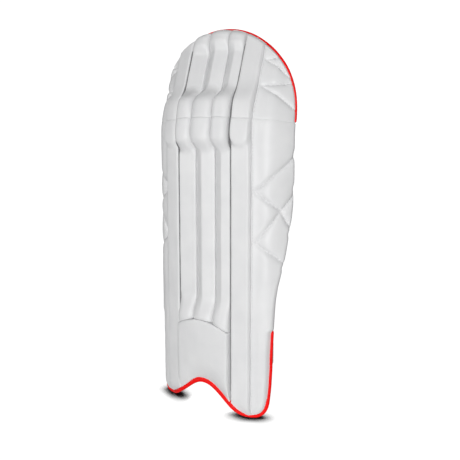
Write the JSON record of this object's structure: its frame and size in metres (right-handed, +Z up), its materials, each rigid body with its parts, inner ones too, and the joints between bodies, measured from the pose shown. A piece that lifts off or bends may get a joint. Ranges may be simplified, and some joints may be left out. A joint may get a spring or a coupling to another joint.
{
  "type": "cricket leg pad",
  "caption": "Wicket-keeping style cricket leg pad: padded upright rolls, a flexing double-bulged knee, curved side wings, a red edge binding and hook-and-loop straps.",
  "frame": {"origin": "on the floor plane, under the middle of the pad's bounding box; the pad stands on its two bottom lobes", "axes": "+Z up the shin; +Y from the padded face towards the back of the leg; +X to the wearer-facing right when the padded face is looked at from the front, the side the straps are sewn to"},
  "size_m": [0.2868, 0.138, 0.6576],
  "materials": {
    "cover": "smooth white coated leathercloth, satin",
    "binding": "bright red coated binding tape, satin",
    "lining": "brushed pale lining cloth, matt",
    "webbing": "woven white webbing, matt",
    "hook": "hook tape, matt",
    "loop": "loop tape, fuzzy",
    "cane": "split cane, bare"
  },
  "bodies": {
    "shin_section": {"left_bolster_shin": "cover", "inner_left_roll_shin": "cover", "centre_roll_shin": "cover", "inner_right_roll_shin": "cover", "right_bolster_shin": "cover", "cane_left_bolster_shin": "cane", "cane_inner_left_roll_shin": "cane", "cane_centre_roll_shin": "cane", "cane_inner_right_roll_shin": "cane", "cane_right_bolster_shin": "cane", "instep_panel": "cover", "shin_backing": "lining", "left_wing_shin": "cover", "right_wing_shin": "cover", "left_welt_shin": "cover", "right_welt_shin": "cover", "instep_binding": "binding", "shin_cushion_left": "lining", "shin_cushion_right": "lining", "instep_cushion": "lining", "knee_hinge_web": "cover", "ankle_strap_anchor": "webbing", "ankle_loop_patch": "loop", "calf_strap_anchor": "webbing", "calf_loop_patch": "loop"},
    "knee_section": {"left_bolster_knee": "cover", "inner_left_roll_knee": "cover", "centre_roll_knee": "cover", "inner_right_roll_knee": "cover", "right_bolster_knee": "cover", "cane_left_bolster_knee": "cane", "cane_inner_left_roll_knee": "cane", "cane_centre_roll_knee": "cane", "cane_inner_right_roll_knee": "cane", "cane_right_bolster_knee": "cane", "knee_backing": "lining", "left_wing_knee": "cover", "right_wing_knee": "cover", "left_welt_knee": "cover", "right_welt_knee": "cover", "crown_binding": "binding", "knee_cushion": "lining", "knee_strap_anchor": "webbing", "knee_loop_patch": "loop"},
    "ankle_closure": {"ankle_strap": "webbing", "ankle_hook_patch": "hook"},
    "calf_closure": {"calf_strap": "webbing", "calf_hook_patch": "hook"},
    "knee_closure": {"knee_strap": "webbing", "knee_hook_patch": "hook"}
  },
  "joints": [
    {"name": "knee_flex", "type": "hinge", "parent": "shin_section", "child": "knee_section", "pos_m": [0, -0.0153, 0.5], "axis": [-1, 0, 0], "range_deg": [-10, 20], "stiffness_Nm_per_rad": 4, "deforming": ["knee_hinge_web"]},
    {"name": "ankle_strap_open", "type": "hinge", "parent": "shin_section", "child": "ankle_closure", "pos_m": [0.11318, -0.00814, 0.112], "axis": [0, 0, -1], "range_deg": [0, 110]},
    {"name": "calf_strap_open", "type": "hinge", "parent": "shin_section", "child": "calf_closure", "pos_m": [0.12819, 0.01369, 0.352], "axis": [0, 0, -1], "range_deg": [0, 100]},
    {"name": "knee_strap_open", "type": "hinge", "parent": "knee_section", "child": "knee_closure", "pos_m": [0.12292, 0.01845, 0.54371], "axis": [0, -0.3007, -0.9537], "range_deg": [0, 60]}
  ]
}
